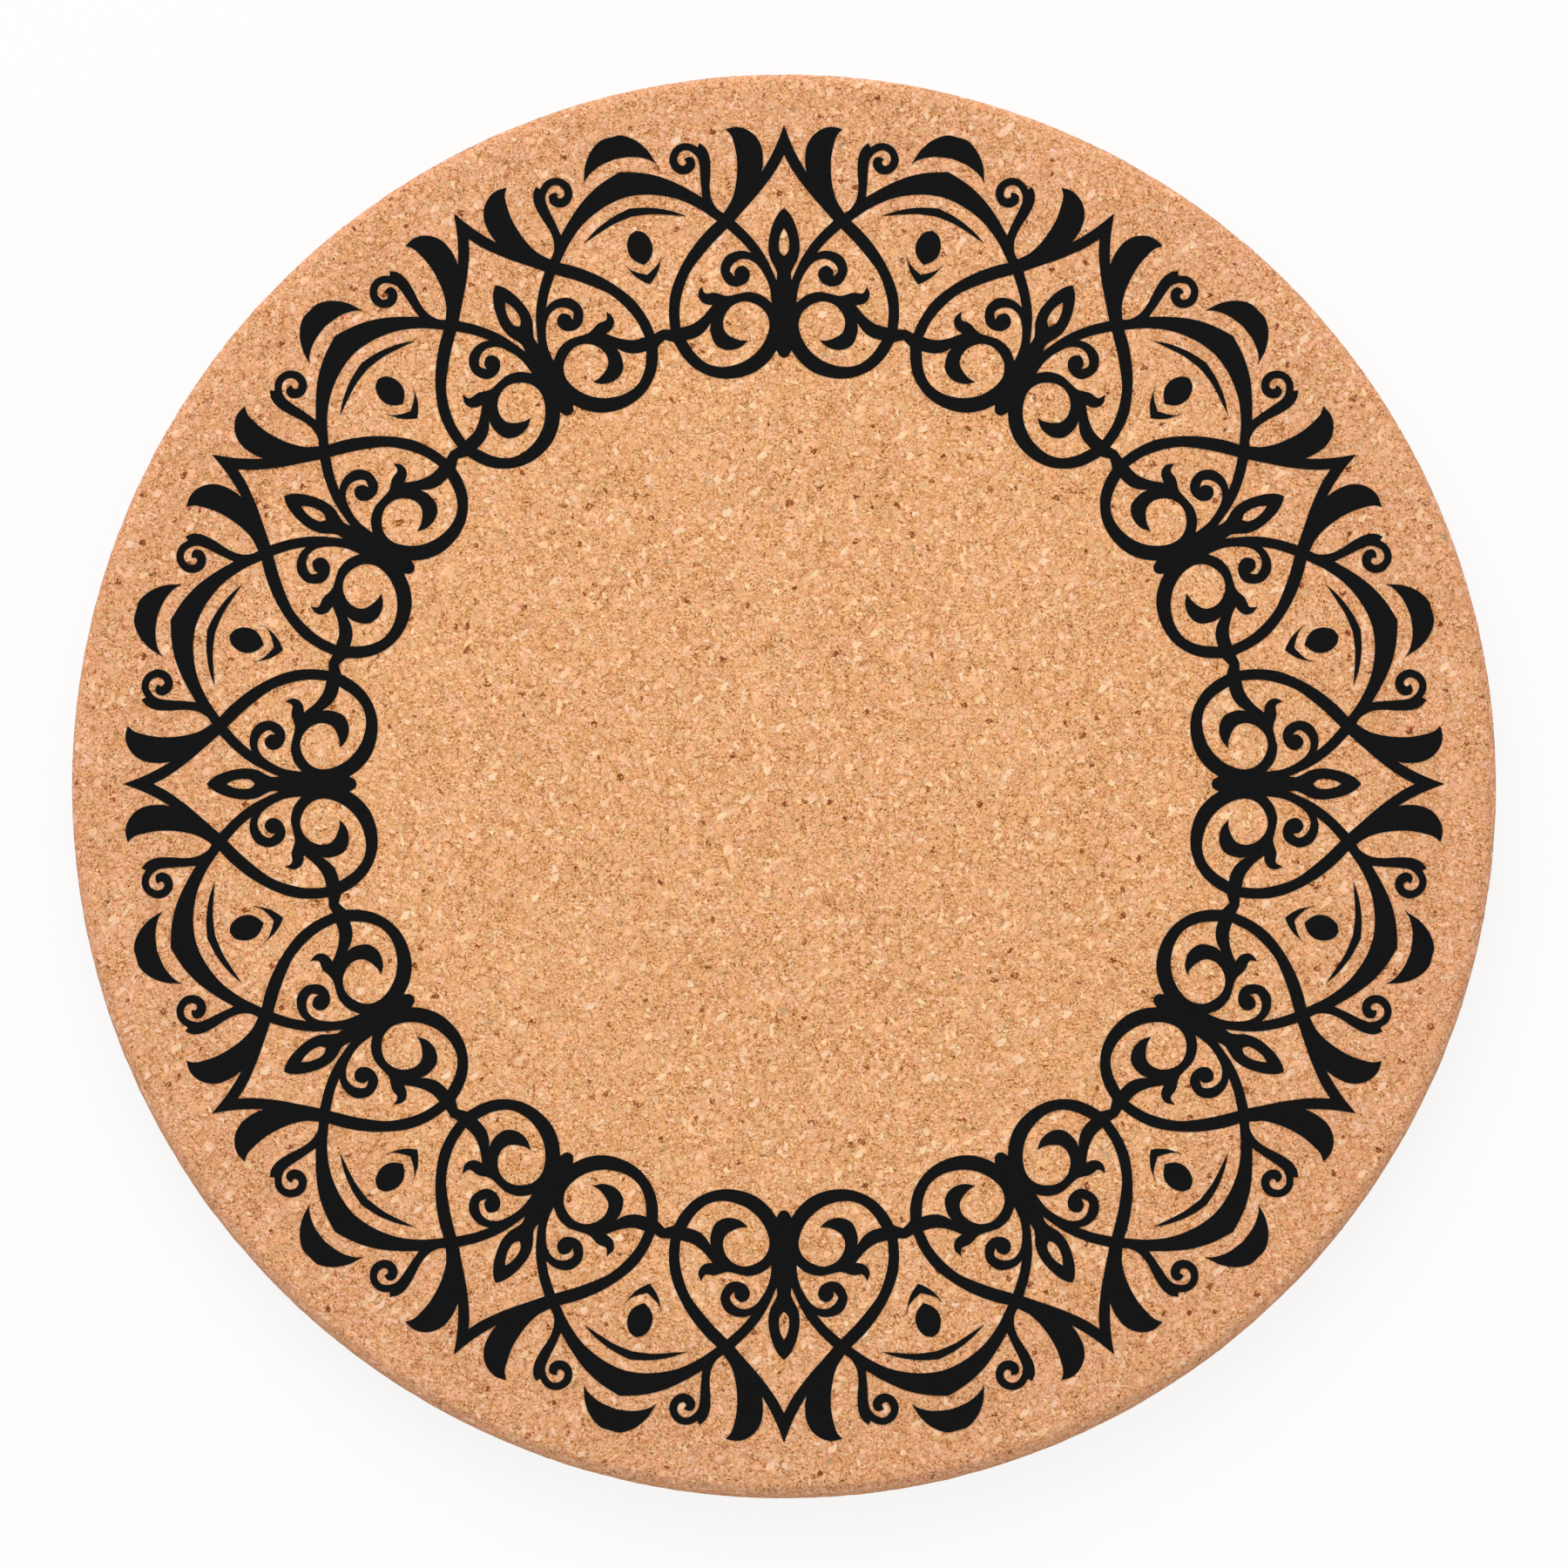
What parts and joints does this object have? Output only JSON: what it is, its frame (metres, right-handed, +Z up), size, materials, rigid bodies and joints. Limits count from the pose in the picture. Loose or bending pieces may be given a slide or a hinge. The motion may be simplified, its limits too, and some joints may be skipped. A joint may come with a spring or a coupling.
{
  "type": "cork coaster",
  "caption": "Flat round cork coaster with softly rounded edges and a black ring of hearts and scrolls printed round a bare centre, to stand a cup on.",
  "frame": {"origin": "centre of the underside", "axes": "+Z up, out of the printed face; +Y towards one heart of the print"},
  "size_m": [0.1, 0.1, 0.0051],
  "materials": {
    "cork": "matte",
    "ink": "matte"
  },
  "bodies": {
    "root": {"cork_disc": "cork", "print_lattice": "ink", "print_crescent_01": "ink", "print_crescent_02": "ink", "print_crescent_03": "ink", "print_crescent_04": "ink", "print_crescent_05": "ink", "print_crescent_06": "ink", "print_crescent_07": "ink", "print_crescent_08": "ink", "print_crescent_09": "ink", "print_crescent_10": "ink", "print_crescent_11": "ink", "print_crescent_12": "ink", "print_brow_01": "ink", "print_brow_02": "ink", "print_brow_03": "ink", "print_brow_04": "ink", "print_brow_05": "ink", "print_brow_06": "ink", "print_brow_07": "ink", "print_brow_08": "ink", "print_brow_09": "ink", "print_brow_10": "ink", "print_brow_11": "ink", "print_brow_12": "ink", "print_drop_01": "ink", "print_drop_02": "ink", "print_drop_03": "ink", "print_drop_04": "ink", "print_drop_05": "ink", "print_drop_06": "ink", "print_drop_07": "ink", "print_drop_08": "ink", "print_drop_09": "ink", "print_drop_10": "ink", "print_drop_11": "ink", "print_drop_12": "ink", "print_chevron_01": "ink", "print_chevron_02": "ink", "print_chevron_03": "ink", "print_chevron_04": "ink", "print_chevron_05": "ink", "print_chevron_06": "ink", "print_chevron_07": "ink", "print_chevron_08": "ink", "print_chevron_09": "ink", "print_chevron_10": "ink", "print_chevron_11": "ink", "print_chevron_12": "ink"}
  },
  "joints": []
}
